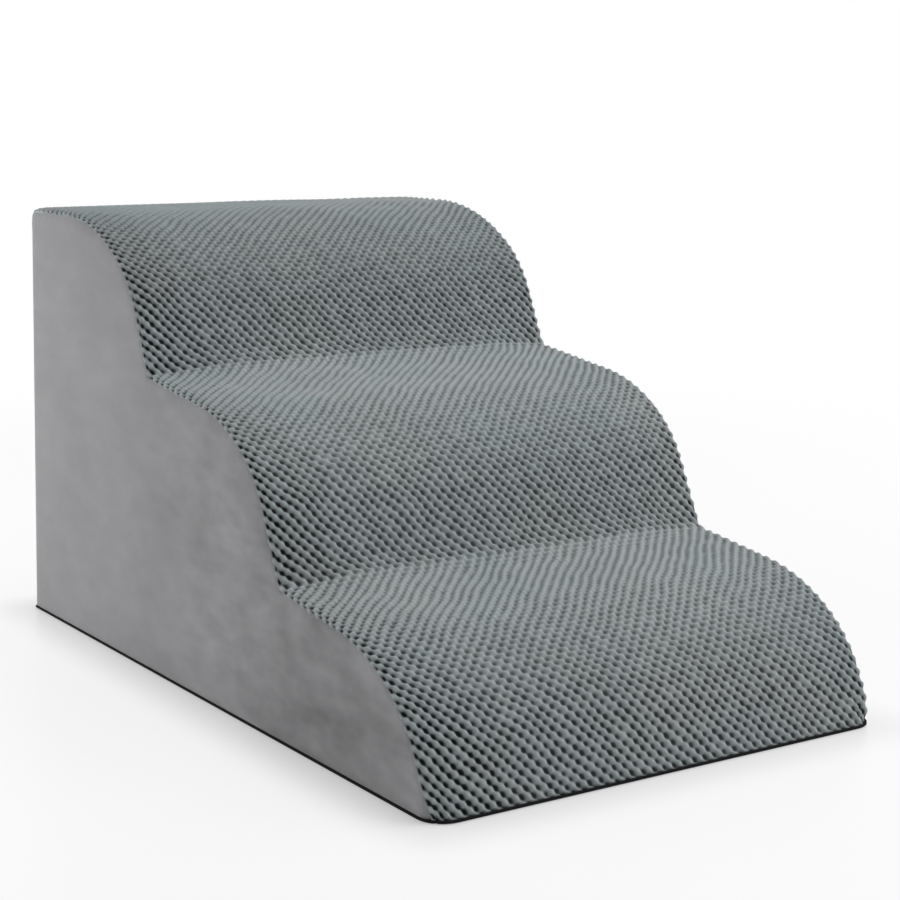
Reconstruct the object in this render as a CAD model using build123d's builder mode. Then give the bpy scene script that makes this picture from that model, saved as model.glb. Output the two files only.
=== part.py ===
from build123d import *
from math import cos, floor, radians, sin
import os

os.makedirs("parts", exist_ok=True)

# Foam pet stairs with three rounded steps, in a cloth cover that closes with a zip across the back.
# Millimetres and degrees. X runs across the stairs, Y from the toe to the back, Z up.
# The origin is on the floor, in the middle of the footprint.

# Steps: how far each runs back and how far it climbs, measured on the foam
overall_width = 400
lower_going = 204
middle_going = 225
upper_going = 253
lower_rise = 113
middle_rise = 131
upper_rise = 126

# Shape of a step: a leaning riser, a round nose, a flatter brow and a tread that falls to the front
riser_angle = 65
brow_angle = 36
tread_angle = 7
nose_radius = 100
brow_radius = 148
upper_brow_radius = 190
back_corner_radius = 10

# Cloth
pile_thickness = 4
velvet_thickness = 1.5
base_thickness = 1
velvet_edge_radius = 1.2

# Zip: the opening in the back, the tapes, the moulded teeth and the stops at both ends
zip_height = 45
zip_side_margin = 14
zip_slot_width = 17
zip_slot_radius = 3
zip_end_margin = 6
tape_width = 15
tape_thickness = 0.6
tape_end_allowance = 6
tooth_pitch = 4
tooth_depth = 2.4
tooth_reach = 3.5
tooth_overlap = 1.2
tooth_grip = 1.3
tooth_shoulder = 1.9
tooth_gap = 0.1
stop_length = 3
stop_height = 3
bottom_stop_length = 4
bottom_stop_overhang = 0.4

# Widths of a tooth at its body, waist, head and tip, as shares of the pitch, and where its head is widest
body_share = 0.7
waist_share = 0.37
head_share = 0.5
tip_share = 0.35
head_height_share = 0.4

# Slider: two plates joined by a wedge that keeps the two rows apart at its mouth
slider_length = 18
slider_neck_length = 6
slider_shoulder_length = 6
slider_wall = 1.2
slider_corner_radius = 2
slider_edge_chamfer = 0.4
front_plate_thickness = 1.2
rear_plate_thickness = 1
chain_clearance = 0.2
tape_clearance = 0.2
foam_clearance = 0.4
wedge_width = 3
wedge_length = 5.5
wedge_nose_length = 2.5
wedge_set_back = 1

# Bridge on the slider, and the pull tab whose bar runs under it
bridge_length = 8.4
bridge_width = 2.6
bridge_thickness = 1
bridge_leg = 1.4
bridge_corner_radius = 1.6
bar_diameter = 1.8
bar_clearance = 0.08
pull_clearance = 0.3
pull_arm_width = 1.6
pull_thickness = 1.5
pull_length = 25
pull_eye_length = 5.2
pull_eye_radius = 0.8
pull_tip_width = 5
pull_corner_radius = 1.6
pull_edge_chamfer = 0.3
pull_hole_length = 6
pull_hole_width = 2
pull_hole_margin = 2.4

# Places that follow from the sizes above
core_width = overall_width - 2 * velvet_thickness
zip_slot_length = overall_width - 2 * zip_side_margin
overall_depth = lower_going + middle_going + upper_going + 2 * pile_thickness
toe_y = -overall_depth / 2 + pile_thickness
back_y = overall_depth / 2 - pile_thickness
lower_top_z = base_thickness + lower_rise
middle_top_z = lower_top_z + middle_rise
upper_top_z = middle_top_z + upper_rise
back_seam_z = upper_top_z - back_corner_radius
toe = (toe_y, base_thickness)
lower_valley = (toe_y + lower_going, lower_top_z)
middle_valley = (toe_y + lower_going + middle_going, middle_top_z)
pile_toe_y = toe_y - pile_thickness / sin(radians(riser_angle))
back_outer_y = back_y + velvet_thickness
zip_y = back_y - tape_thickness / 2
tape_inner = tooth_reach - tooth_grip
tape_length = zip_slot_length + 2 * tape_end_allowance
closed_x = zip_slot_length / 2 - zip_end_margin - slider_length / 2
channel_depth = tooth_depth / 2 + chain_clearance
front_plate_out = channel_depth + front_plate_thickness
slider_depth = front_plate_out + channel_depth + rear_plate_thickness
bar_height = bar_diameter / 2 + bar_clearance


def tier_line(start, going, rise, brow, fall_angle):
    """One step in profile, from the foot of its riser at start: riser, nose, brow and tread, each tangent
    to the next. The riser's length is what makes the tread end at going and rise from the start."""
    lean, turn, fall = radians(riser_angle), radians(brow_angle), radians(fall_angle)
    run = going - nose_radius * (sin(lean) - sin(turn)) - brow * (sin(turn) - sin(fall))
    climb = rise - nose_radius * (cos(turn) - cos(lean)) - brow * (cos(fall) - cos(turn))
    riser_length = (climb * cos(fall) - run * sin(fall)) / sin(lean - fall)
    riser_face = PolarLine(start, riser_length, riser_angle)
    nose = JernArc(riser_face @ 1, riser_face % 1, nose_radius, brow_angle - riser_angle)
    brow_arc = JernArc(nose @ 1, nose % 1, brow, fall_angle - brow_angle)
    tread = Line(brow_arc @ 1, (start[0] + going, start[1] + rise))
    return tread @ 1


def upper_tier_line():
    """The top step, whose level tread ends in the rounded top rear corner."""
    tread_end = tier_line(
        middle_valley, upper_going - back_corner_radius, upper_rise, upper_brow_radius, 0
    )
    return JernArc(tread_end, (1, 0), back_corner_radius, -90) @ 1


def stair_line():
    """The whole foam profile from the toe on the floor to the end of the top rear corner."""
    tier_line(toe, lower_going, lower_rise, brow_radius, tread_angle)
    tier_line(lower_valley, middle_going, middle_rise, brow_radius, tread_angle)
    upper_tier_line()


def rear_view(out, height=0):
    """A plane seen from behind the stairs, local X to the right and Y up, out beyond the zip's middle."""
    return Plane(origin=(0, zip_y + out, height), x_dir=(-1, 0, 0), z_dir=(0, 1, 0))


def zip_opening():
    """Cuts the zip opening, with rounded corners, from a sketch of the back."""
    with Locations((0, zip_height)):
        RectangleRounded(zip_slot_length, zip_slot_width, zip_slot_radius, mode=Mode.SUBTRACT)


def save(builder, name):
    """Labels a finished piece and writes it as a STEP file of that name."""
    builder.part.label = name
    export_step(builder.part, f"parts/{name}.step")


# Foam core: three slabs glued one on another, each the full depth behind its own riser
with BuildPart() as core_lower_tier:
    with BuildSketch(Plane.YZ):
        with BuildLine():
            tier_line(toe, lower_going, lower_rise, brow_radius, tread_angle)
            Polyline(lower_valley, (back_y, lower_top_z), (back_y, base_thickness), toe)
        make_face()
    extrude(amount=core_width / 2, both=True)
    # The foam is pressed in along the zip, where the slider's inner plate runs
    with BuildSketch(rear_view(foam_clearance + tape_thickness / 2, zip_height)):
        Rectangle(
            tape_length + 2 * foam_clearance,
            2 * (tape_inner + tape_width + foam_clearance),
        )
    extrude(
        amount=-(tape_thickness / 2 + channel_depth + rear_plate_thickness + 2 * foam_clearance),
        mode=Mode.SUBTRACT,
    )
save(core_lower_tier, "core_lower_tier")

with BuildPart() as core_middle_tier:
    with BuildSketch(Plane.YZ):
        with BuildLine():
            tier_line(lower_valley, middle_going, middle_rise, brow_radius, tread_angle)
            Polyline(middle_valley, (back_y, middle_top_z), (back_y, lower_top_z), lower_valley)
        make_face()
    extrude(amount=core_width / 2, both=True)
save(core_middle_tier, "core_middle_tier")

with BuildPart() as core_upper_tier:
    with BuildSketch(Plane.YZ):
        with BuildLine():
            corner_end = upper_tier_line()
            Polyline(corner_end, (back_y, middle_top_z), middle_valley)
        make_face()
    extrude(amount=core_width / 2, both=True)
save(core_upper_tier, "core_upper_tier")

# Pile cloth: one sheet that follows the foam from the floor to the top rear corner
with BuildPart() as tread_cover:
    with BuildSketch(Plane.YZ):
        with BuildLine():
            stair_line()
            PolarLine(toe, -2 * pile_thickness, riser_angle)
            offset(amount=pile_thickness, side=Side.LEFT)
        make_face()
    extrude(amount=overall_width / 2, both=True)
    split(bisect_by=Plane.XY.offset(base_thickness), keep=Keep.TOP)
save(tread_cover, "tread_cover")

# Smooth side panels, sewn to the pile cloth along the edge of the steps
side_planes = {
    "side_panel_left": Plane.YZ.offset(-overall_width / 2),
    "side_panel_right": Plane.YZ.offset(core_width / 2),
}
for side_name, side_plane in side_planes.items():
    with BuildPart() as side_panel:
        with BuildSketch(side_plane):
            with BuildLine():
                stair_line()
                Polyline((back_y, back_seam_z), (back_y, base_thickness), toe)
            make_face()
        extrude(amount=velvet_thickness)
    save(side_panel, side_name)

# Back: a large panel above the zip and a hem below it, which meet beyond the ends of the opening
back_pieces = {
    "back_panel": (zip_height, back_seam_z),
    "back_hem": (base_thickness, zip_height),
}
for back_name, (low_z, high_z) in back_pieces.items():
    with BuildPart() as back_piece:
        with BuildSketch(rear_view(tape_thickness / 2)):
            with Locations((0, (low_z + high_z) / 2)):
                Rectangle(overall_width, high_z - low_z)
            zip_opening()
        extrude(amount=velvet_thickness)
        outer_edges = back_piece.faces().sort_by(Axis.Y)[-1].edges().filter_by(Axis.Z)
        fillet(outer_edges.group_by(Axis.X)[0] + outer_edges.group_by(Axis.X)[-1], velvet_edge_radius)
    save(back_piece, back_name)

# Anti-slip cloth under the whole footprint
with BuildPart() as base_panel:
    with BuildSketch():
        with Locations((0, (pile_toe_y + back_outer_y) / 2)):
            Rectangle(overall_width, back_outer_y - pile_toe_y)
    extrude(amount=base_thickness)
save(base_panel, "base_panel")

# The two halves of the zip: side is 1 above the zip's centre line and -1 below it
wedge_nose_x = closed_x + slider_length / 2 - wedge_set_back - wedge_length
row_start_x = -zip_slot_length / 2 + zip_end_margin + bottom_stop_length + tooth_pitch / 2
row_end_x = wedge_nose_x - tooth_pitch / 2


def tooth_outline(side):
    """Half of one moulded tooth mirrored about its own middle: a body on the tape, a waist, a head and a tip."""
    right = [
        (tooth_pitch * body_share / 2, tooth_reach),
        (tooth_pitch * body_share / 2, tooth_shoulder),
        (tooth_pitch * waist_share / 2, tooth_overlap + tooth_gap),
        (tooth_pitch * head_share / 2, -tooth_overlap * head_height_share),
        (tooth_pitch * tip_share / 2, -tooth_overlap),
    ]
    left = [(-x, z) for x, z in reversed(right)]
    return [(x, side * z) for x, z in right + left]


for row_name, side in {"upper": 1, "lower": -1}.items():
    tape_middle = side * (tape_inner + tape_width / 2)

    # Woven tape, stitched under the edge of the back cloth
    with BuildPart() as zip_tape:
        with BuildSketch(rear_view(-tape_thickness / 2, zip_height)):
            with Locations((0, tape_middle)):
                Rectangle(tape_length, tape_width)
        extrude(amount=tape_thickness)
    save(zip_tape, f"zip_tape_{row_name}")

    # Teeth moulded over the tape's edge, the lower row half a pitch along so that the heads interlock
    first_x = row_start_x + (1 - side) * tooth_pitch / 4
    tooth_count = floor((row_end_x - first_x) / tooth_pitch) + 1
    with BuildPart() as zip_teeth:
        with BuildSketch(rear_view(-tooth_depth / 2, zip_height)):
            with Locations([(first_x + n * tooth_pitch, 0) for n in range(tooth_count)]):
                Polygon(*tooth_outline(side), align=None)
        extrude(amount=tooth_depth)
        with BuildSketch(rear_view(-tape_thickness / 2, zip_height)):
            with Locations((0, tape_middle)):
                Rectangle(tape_length, tape_width)
        extrude(amount=tape_thickness, mode=Mode.SUBTRACT)
    save(zip_teeth, f"zip_teeth_{row_name}")

# Top stops, one clamped on each tape in the slider's mouth
with BuildPart() as zip_top_stops:
    stop_x = closed_x + slider_length / 2
    with BuildSketch(rear_view(-tooth_depth / 2, zip_height)):
        with Locations([(stop_x, side * (tooth_shoulder + stop_height / 2)) for side in (1, -1)]):
            Rectangle(stop_length, stop_height)
    extrude(amount=tooth_depth)
    with BuildSketch(rear_view(-tape_thickness / 2, zip_height)):
        with Locations([(0, side * (tape_inner + tape_width / 2)) for side in (1, -1)]):
            Rectangle(tape_length, tape_width)
    extrude(amount=tape_thickness, mode=Mode.SUBTRACT)
save(zip_top_stops, "zip_top_stops")

# Bottom stop, a box clamped over both tapes at the open end
with BuildPart() as zip_bottom_stop:
    bottom_stop_x = -zip_slot_length / 2 + zip_end_margin + bottom_stop_length / 2
    with BuildSketch(rear_view(-channel_depth, zip_height)):
        with Locations((bottom_stop_x, 0)):
            Rectangle(bottom_stop_length, 2 * (tooth_reach + bottom_stop_overhang))
    extrude(amount=2 * channel_depth)
    with BuildSketch(rear_view(-tape_thickness / 2, zip_height)):
        with Locations([(0, side * (tape_inner + tape_width / 2)) for side in (1, -1)]):
            Rectangle(tape_length, tape_width)
    extrude(amount=tape_thickness, mode=Mode.SUBTRACT)
save(zip_bottom_stop, "zip_bottom_stop")

# Slider body, parked at the closed end with its mouth to the right as seen from behind
neck_half = tooth_reach + chain_clearance
mouth_half = neck_half + tooth_overlap + wedge_width / 2 + chain_clearance
tail_x = closed_x - slider_length / 2
neck_x = tail_x + slider_neck_length
shoulder_x = neck_x + slider_shoulder_length
mouth_x = closed_x + slider_length / 2


def slider_outline(wall):
    """The channel for the two rows, a straight neck that opens to the mouth, wall wider on both sides."""
    upper = [
        (tail_x, neck_half + wall),
        (neck_x, neck_half + wall),
        (shoulder_x, mouth_half + wall),
        (mouth_x, mouth_half + wall),
    ]
    return upper + [(x, -z) for x, z in reversed(upper)]


with BuildPart() as zip_slider:
    with BuildSketch(rear_view(front_plate_out - slider_depth, zip_height)) as slider_face:
        Polygon(*slider_outline(slider_wall), align=None)
        fillet(slider_face.vertices().group_by(Axis.X)[0], slider_corner_radius)
        fillet(slider_face.vertices().group_by(Axis.X)[-1], slider_corner_radius)
    extrude(amount=slider_depth)
    chamfer(zip_slider.faces().sort_by(Axis.Y)[-1].edges(), slider_edge_chamfer)
    # The channel that the rows run in
    with BuildSketch(rear_view(-channel_depth, zip_height)):
        Polygon(*slider_outline(0), align=None)
    extrude(amount=2 * channel_depth, mode=Mode.SUBTRACT)
    # The slots on both sides that the tapes come out of
    with BuildSketch(rear_view(-tape_thickness / 2 - tape_clearance, zip_height)):
        with Locations((closed_x, 0)):
            Rectangle(2 * slider_length, zip_slot_width)
    extrude(amount=tape_thickness + 2 * tape_clearance, mode=Mode.SUBTRACT)
    # The wedge that joins the plates, with its nose towards the closed teeth
    with BuildSketch(rear_view(-channel_depth, zip_height)):
        wedge_end_x = wedge_nose_x + wedge_length
        Polygon(
            (wedge_nose_x, 0),
            (wedge_nose_x + wedge_nose_length, wedge_width / 2),
            (wedge_end_x, wedge_width / 2),
            (wedge_end_x, -wedge_width / 2),
            (wedge_nose_x + wedge_nose_length, -wedge_width / 2),
            align=None,
        )
    extrude(amount=2 * channel_depth)
    # The bridge that holds the pull's bar down
    bridge_plane = Plane(
        origin=(-closed_x, zip_y + front_plate_out, zip_height), x_dir=(-1, 0, 0), z_dir=(0, 0, -1)
    )
    with BuildSketch(bridge_plane) as bridge_profile:
        bridge_window = 2 * bar_height
        with Locations((0, (bridge_window + bridge_thickness) / 2)):
            Rectangle(bridge_length, bridge_window + bridge_thickness)
        fillet(bridge_profile.vertices().group_by(Axis.Y)[-1], bridge_corner_radius)
        with Locations((0, bridge_window / 2)):
            Rectangle(bridge_length - 2 * bridge_leg, bridge_window, mode=Mode.SUBTRACT)
    extrude(amount=bridge_width / 2, both=True)
    bridge_top = zip_slider.faces().sort_by(Axis.Y)[-1]
    chamfer(bridge_top.edges().filter_by(Axis.X), slider_edge_chamfer)
save(zip_slider, "zip_slider")

# Pull tab, lying over the closed teeth, with a round bar through the bridge
pull_eye_half = bridge_width / 2 + pull_clearance
pull_half = pull_eye_half + pull_arm_width
pull_out = front_plate_out + bar_height
eye_cut_length = pull_eye_length + 2 * pull_eye_radius
with BuildPart() as zip_pull:
    with BuildSketch(rear_view(pull_out, zip_height)) as pull_face:
        Polygon(
            (closed_x, pull_half),
            (closed_x - pull_eye_length, pull_half),
            (closed_x - pull_length, pull_tip_width / 2),
            (closed_x - pull_length, -pull_tip_width / 2),
            (closed_x - pull_eye_length, -pull_half),
            (closed_x, -pull_half),
            align=None,
        )
        fillet(pull_face.vertices().group_by(Axis.X)[0], pull_corner_radius)
        with Locations((closed_x - pull_eye_length + eye_cut_length / 2, 0)):
            RectangleRounded(eye_cut_length, 2 * pull_eye_half, pull_eye_radius, mode=Mode.SUBTRACT)
        with Locations((closed_x - pull_length + pull_hole_margin + pull_hole_length / 2, 0)):
            SlotOverall(pull_hole_length, pull_hole_width, mode=Mode.SUBTRACT)
    extrude(amount=pull_thickness / 2, both=True)
    flat_faces = zip_pull.faces().filter_by(Axis.Y)
    tab_edges = flat_faces.sort_by(Axis.Y)[0].edges() + flat_faces.sort_by(Axis.Y)[-1].edges()
    chamfer(tab_edges.filter_by(lambda edge: edge.center().X > pull_eye_length - closed_x), pull_edge_chamfer)
    # The round bar that the tab turns on
    with BuildSketch(Plane.XY.offset(zip_height)):
        with Locations((-closed_x, zip_y + pull_out)):
            Circle(bar_diameter / 2)
    extrude(amount=pull_half, both=True)
save(zip_pull, "zip_pull")
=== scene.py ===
import bpy
import math
import numpy as np
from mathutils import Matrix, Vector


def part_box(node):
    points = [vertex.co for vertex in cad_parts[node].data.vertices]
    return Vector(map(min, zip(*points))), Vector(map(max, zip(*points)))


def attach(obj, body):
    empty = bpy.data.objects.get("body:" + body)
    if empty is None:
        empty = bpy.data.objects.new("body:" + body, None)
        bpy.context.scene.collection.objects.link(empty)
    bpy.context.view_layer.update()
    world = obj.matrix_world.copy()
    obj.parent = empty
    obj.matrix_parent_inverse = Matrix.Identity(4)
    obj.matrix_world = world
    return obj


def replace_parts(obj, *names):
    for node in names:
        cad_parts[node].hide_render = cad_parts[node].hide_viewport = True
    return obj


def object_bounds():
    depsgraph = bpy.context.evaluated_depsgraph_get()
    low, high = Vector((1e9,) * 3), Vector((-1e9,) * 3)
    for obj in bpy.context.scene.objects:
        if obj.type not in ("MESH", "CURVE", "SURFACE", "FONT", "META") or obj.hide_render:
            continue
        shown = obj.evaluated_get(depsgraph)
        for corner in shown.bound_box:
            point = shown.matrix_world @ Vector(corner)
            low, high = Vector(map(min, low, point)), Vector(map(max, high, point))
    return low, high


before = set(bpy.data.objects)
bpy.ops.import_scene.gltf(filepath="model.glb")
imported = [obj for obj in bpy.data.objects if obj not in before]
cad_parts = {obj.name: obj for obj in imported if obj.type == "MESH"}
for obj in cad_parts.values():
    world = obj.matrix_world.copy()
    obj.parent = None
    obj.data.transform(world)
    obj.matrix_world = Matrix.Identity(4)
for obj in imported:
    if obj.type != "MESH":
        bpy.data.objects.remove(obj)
cad_low, cad_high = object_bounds()

# Foam core: three slabs of open-cell upholstery foam, cut with a hot wire and glued one on another.
# Each slab has a leaning riser, a round nose, a brow and a tread that falls a little to the front.
# The cut edges are slightly soft, and the cover hides them all.
riser_lean, brow_lean, tread_fall = np.radians([65, 36, 7])
nose_radius = 0.100
brow_radius = 0.148
upper_brow_radius = 0.190
back_corner_radius = 0.010
foam_edge_radius = 0.006
foam_back_gap = 0.003
foam_gap_reach = 0.025
# The gap at the toe in X and in Y
foam_toe_gap = (0.003, 0.005)
foam_toe_reach = 0.060
foam_edge_steps = 5
foam_outline_points = 120
toe_corner_radius = 0.020
toe_corner_height = 0.034
foam_cells_per_metre = 900
foam_cell_depth = 0.0006
# A pair of tones is the plain one and what the noise adds to it
foam_tones = (0.8, 0.4)
foam_colour = (0.74, 0.70, 0.60)
line_step = 0.0005


def tier_moves(going, rise, brow, fall, grow=0.0):
    """The moves along one step as (length, turn): riser, nose, brow and tread. The two straights close the
    step: run and climb are what the arcs leave over, and the straights are their parts along each slope.
    grow moves the line outwards, which widens both arcs and leaves the straights as long."""
    run = going - nose_radius * (math.sin(riser_lean) - math.sin(brow_lean))
    run -= brow * (math.sin(brow_lean) - math.sin(fall))
    climb = rise - nose_radius * (math.cos(brow_lean) - math.cos(riser_lean))
    climb -= brow * (math.cos(fall) - math.cos(brow_lean))
    between = math.sin(riser_lean - fall)
    riser = (climb * math.cos(fall) - run * math.sin(fall)) / between
    tread = (run * math.sin(riser_lean) - climb * math.cos(riser_lean)) / between
    nose_turn, brow_turn = riser_lean - brow_lean, brow_lean - fall
    return [
        (riser, 0.0),
        ((nose_radius + grow) * nose_turn, -nose_turn),
        ((brow + grow) * brow_turn, -brow_turn),
        (tread, 0.0),
    ]


def walk(start, heading, moves):
    """The line that the moves draw from start: length along it, Y, Z and heading, at even short steps. The
    heading changes evenly along each move, and the place is the running sum of the steps."""
    lengths, turns = np.array(moves).T
    marks = np.concatenate([[0.0], np.cumsum(lengths)])
    headings = heading + np.concatenate([[0.0], np.cumsum(turns)])
    along = np.linspace(0.0, marks[-1], int(marks[-1] / line_step) + 2)
    middles = np.interp((along[1:] + along[:-1]) / 2, marks, headings)
    steps = np.diff(along)
    y = start[0] + np.concatenate([[0.0], np.cumsum(steps * np.cos(middles))])
    z = start[1] + np.concatenate([[0.0], np.cumsum(steps * np.sin(middles))])
    return along, y, z, np.interp(along, marks, headings)


def smooth(share):
    """0 under 0, 1 over 1, and an S-curve between."""
    share = np.clip(share, 0, 1)
    return share * share * (3 - 2 * share)


def round_toe(points):
    """Draws in the two front corners at the floor. In the square of toe_corner_radius at each corner, a
    place keeps its direction from the square's inner corner, and its distance from there falls to the longer
    of its two parts, which makes the square a quarter circle. The move fades out over toe_corner_height."""
    sides = np.sign(points[..., 0])
    inner = np.array([cad_high.x, -cad_low.y]) - toe_corner_radius
    parts = np.stack([np.abs(points[..., 0]), -points[..., 1]], -1) - inner
    distance = np.maximum(np.linalg.norm(parts, axis=-1), toe_corner_radius / 100)
    share = smooth(1 - points[..., 2] / toe_corner_height) * (parts.min(-1) > 0)
    parts = inner + parts * (1 - share * (1 - parts.max(-1) / distance))[..., None]
    return np.stack([sides * parts[..., 0], -parts[..., 1], points[..., 2]], -1)


def new_piece(name, points, quads, caps=(), crisp_over=50):
    """A mesh object from points, four-cornered faces and caps with any number of corners. Edges where the
    surface turns by more than crisp_over degrees stay crisp."""
    mesh = bpy.data.meshes.new(name)
    corners = np.concatenate([quads.ravel(), *caps]).astype(np.int32)
    counts = np.array([4] * len(quads) + [len(cap) for cap in caps])
    mesh.vertices.add(len(points))
    mesh.vertices.foreach_set("co", points.astype(np.float32).ravel())
    mesh.loops.add(len(corners))
    mesh.loops.foreach_set("vertex_index", corners)
    mesh.polygons.add(len(counts))
    mesh.polygons.foreach_set("loop_start", (np.cumsum(counts) - counts).astype(np.int32))
    mesh.polygons.foreach_set("use_smooth", np.ones(len(counts), bool))
    mesh.update(calc_edges=True)
    mesh.set_sharp_from_angle(angle=math.radians(crisp_over))
    piece = bpy.data.objects.new(name, mesh)
    bpy.context.scene.collection.objects.link(piece)
    return piece


def tube_faces(rows, columns):
    """Faces of a closed skin whose rings are the rows of a grid, with a cap at each end. The rings run
    anticlockwise as seen from beyond the last row."""
    row, column = np.meshgrid(np.arange(rows - 1), np.arange(columns), indexing="ij")
    here, beside = row * columns + column, row * columns + (column + 1) % columns
    quads = np.stack([here, beside, beside + columns, here + columns], -1).reshape(-1, 4)
    ring = np.arange(columns)
    return quads, [ring[::-1], ring + (rows - 1) * columns]


class Socket:
    """One output of a node that Python's operators work on: each operation adds a Math node."""

    def __init__(self, graph, output):
        self.graph, self.output = graph, output

    def maths(self, operation, *values):
        return self.graph.node("ShaderNodeMath", {"operation": operation}, dict(enumerate(values)))

    def __add__(self, other):
        return self.maths("ADD", self, other)

    def __sub__(self, other):
        return self.maths("SUBTRACT", self, other)

    def __mul__(self, other):
        return self.maths("MULTIPLY", self, other)

    def __rsub__(self, other):
        return self.maths("SUBTRACT", other, self)

    __radd__ = __add__
    __rmul__ = __mul__


class Graph:
    """The nodes of a material or of the world."""

    def __init__(self, tree):
        self.tree = tree

    def node(self, kind, settings=None, inputs=None, output=0):
        """Adds a node, sets it, then fills its sockets with values or links, and gives one of its outputs."""
        made = self.tree.nodes.new(kind)
        for name, value in (settings or {}).items():
            setattr(made, name, value)
        for name, value in (inputs or {}).items():
            self.fill(made.inputs[name], value)
        return Socket(self, made.outputs[output])

    def fill(self, socket, value):
        """Links a Socket to a node's input, or sets the input itself to a colour or a number."""
        if isinstance(value, Socket):
            self.tree.links.new(value.output, socket)
        elif socket.type == "RGBA":
            socket.default_value = (*value, 1.0)
        else:
            socket.default_value = value


class Finish(Graph):
    """A material: one Principled shader, and the nodes that feed it."""

    def __init__(self, name, **values):
        self.material = bpy.data.materials.new(name)
        self.material.use_nodes = True
        super().__init__(self.material.node_tree)
        self.shader = self.tree.nodes["Principled BSDF"]
        self.feed(**values)

    def feed(self, **values):
        """Fills the shader's sockets: base_color fills Base Color, and so on."""
        for name, value in values.items():
            self.fill(self.shader.inputs[name.replace("_", " ").title()], value)

    def coordinate(self, axis):
        """One of the Object coordinates X, Y and Z, in metres."""
        here = self.node("ShaderNodeTexCoord", output="Object")
        return self.node("ShaderNodeSeparateXYZ", None, {0: here}, output=axis)

    def noise(self, per_metre, detail=2.0, stretch=(1, 1, 1)):
        """Cloudy noise about 0.5 in Object coordinates, with per_metre blotches to the metre."""
        here = self.node("ShaderNodeTexCoord", output="Object")
        place = self.node("ShaderNodeMapping", None, {"Vector": here, "Scale": stretch})
        inputs = {"Vector": place, "Scale": per_metre, "Detail": detail}
        return self.node("ShaderNodeTexNoise", None, inputs, output="Fac")

    def between(self, share, low, high):
        """0 where share is under low, 1 where it is over high, and an S-curve between."""
        inputs = {"Value": share, "From Min": low, "From Max": high}
        return self.node("ShaderNodeMapRange", {"interpolation_type": "SMOOTHSTEP"}, inputs)

    def mix(self, share, first, second, how="MIX"):
        """A colour that goes from first to second as share goes from 0 to 1."""
        settings = {"data_type": "RGBA", "blend_type": how}
        return self.node("ShaderNodeMix", settings, {0: share, 6: first, 7: second}, output=2)

    def shade(self, colour, tone):
        """The colour made lighter or darker by tone, a number about 1."""
        grey = self.node("ShaderNodeCombineColor", None, {0: tone, 1: tone, 2: tone})
        return self.mix(1.0, colour, grey, "MULTIPLY")

    def bump(self, height, depth):
        """A bump of that depth in metres where height goes from 0 to 1."""
        return self.node("ShaderNodeBump", None, {"Height": height, "Distance": depth})


def dress(piece, finish, body, slot, *nodes):
    """Gives a piece its material and its body, and hides the CAD nodes that it stands for. slot is not used.
    """
    piece.data.materials.append(finish.material)
    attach(piece, body)
    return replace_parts(piece, *nodes) if nodes else piece


foam = Finish("cut_foam", roughness=1.0)
cells = foam.noise(foam_cells_per_metre, 3.0)
foam.feed(
    base_color=foam.shade(foam_colour, foam_tones[0] + foam_tones[1] * cells),
    normal=foam.bump(cells, foam_cell_depth),
)

levels = ("lower", "middle", "upper")
slabs = [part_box(f"core_{level}_tier") for level in levels]
toe = (slabs[0][0].y, slabs[0][0].z)
back_y = slabs[0][1].y
riser_feet = [low.y for low, _ in slabs]
goings = np.diff([*riser_feet, back_y - back_corner_radius])
rises = [high.z - low.z for low, high in slabs]
brows = (brow_radius, brow_radius, upper_brow_radius)
falls = (tread_fall, tread_fall, 0.0)

for level, (low, high), going, rise, brow, fall in zip(levels, slabs, goings, rises, brows, falls):
    # The outline in Y and Z, carried across X. Towards each end it draws in by one minus the cosine of an
    # angle, while the place across goes on by its sine, which rounds the edge. The slab also stays a little
    # short of the cloth at the back and at the toe
    moves = tier_moves(going, rise, brow, fall)
    corners = [(back_y, high.z), (back_y, low.z)]
    if level == "upper":
        moves.append((back_corner_radius * math.pi / 2, -math.pi / 2))
        corners = corners[1:]
    _, y, z, _ = walk((low.y, low.z), riser_lean, moves)
    few = np.linspace(0, len(y) - 1, foam_outline_points).astype(int)
    ring = np.concatenate([np.stack([y[few], z[few]], -1), corners])
    ahead = np.roll(ring, -1, 0) - ring
    ahead /= np.linalg.norm(ahead, axis=1, keepdims=True)
    along_ring = (ahead + np.roll(ahead, 1, 0)) / 2
    inward = np.stack([along_ring[:, 1], -along_ring[:, 0]], -1)
    angle = np.linspace(0, math.pi / 2, foam_edge_steps)
    end_x = high.x - foam_edge_radius * (1 - np.sin(angle))
    draw_in = foam_edge_radius * (1 - np.cos(angle))
    stations = np.concatenate([end_x[::-1], -end_x])
    draws = np.concatenate([draw_in[::-1], draw_in])
    points = np.zeros((len(stations), len(ring), 3))
    points[:, :, 0] = stations[:, None]
    points[:, :, 1:] = ring + draws[:, None, None] * inward
    at_rear = smooth(1 - (back_y - points[..., 1]) / foam_gap_reach)
    points[..., 1] -= foam_back_gap * at_rear
    at_toe = smooth(1 - np.hypot(points[..., 1] - toe[0], points[..., 2] - toe[1]) / foam_toe_reach)
    points[..., 0] -= np.sign(points[..., 0]) * foam_toe_gap[0] * at_toe
    points[..., 1] += foam_toe_gap[1] * at_toe
    points = round_toe(points.reshape(-1, 3))
    slab = new_piece(f"foam_slab_{level}", points, *tube_faces(len(stations), len(ring)))
    dress(slab, foam, "stairs", "foam", f"core_{level}_tier")

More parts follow.
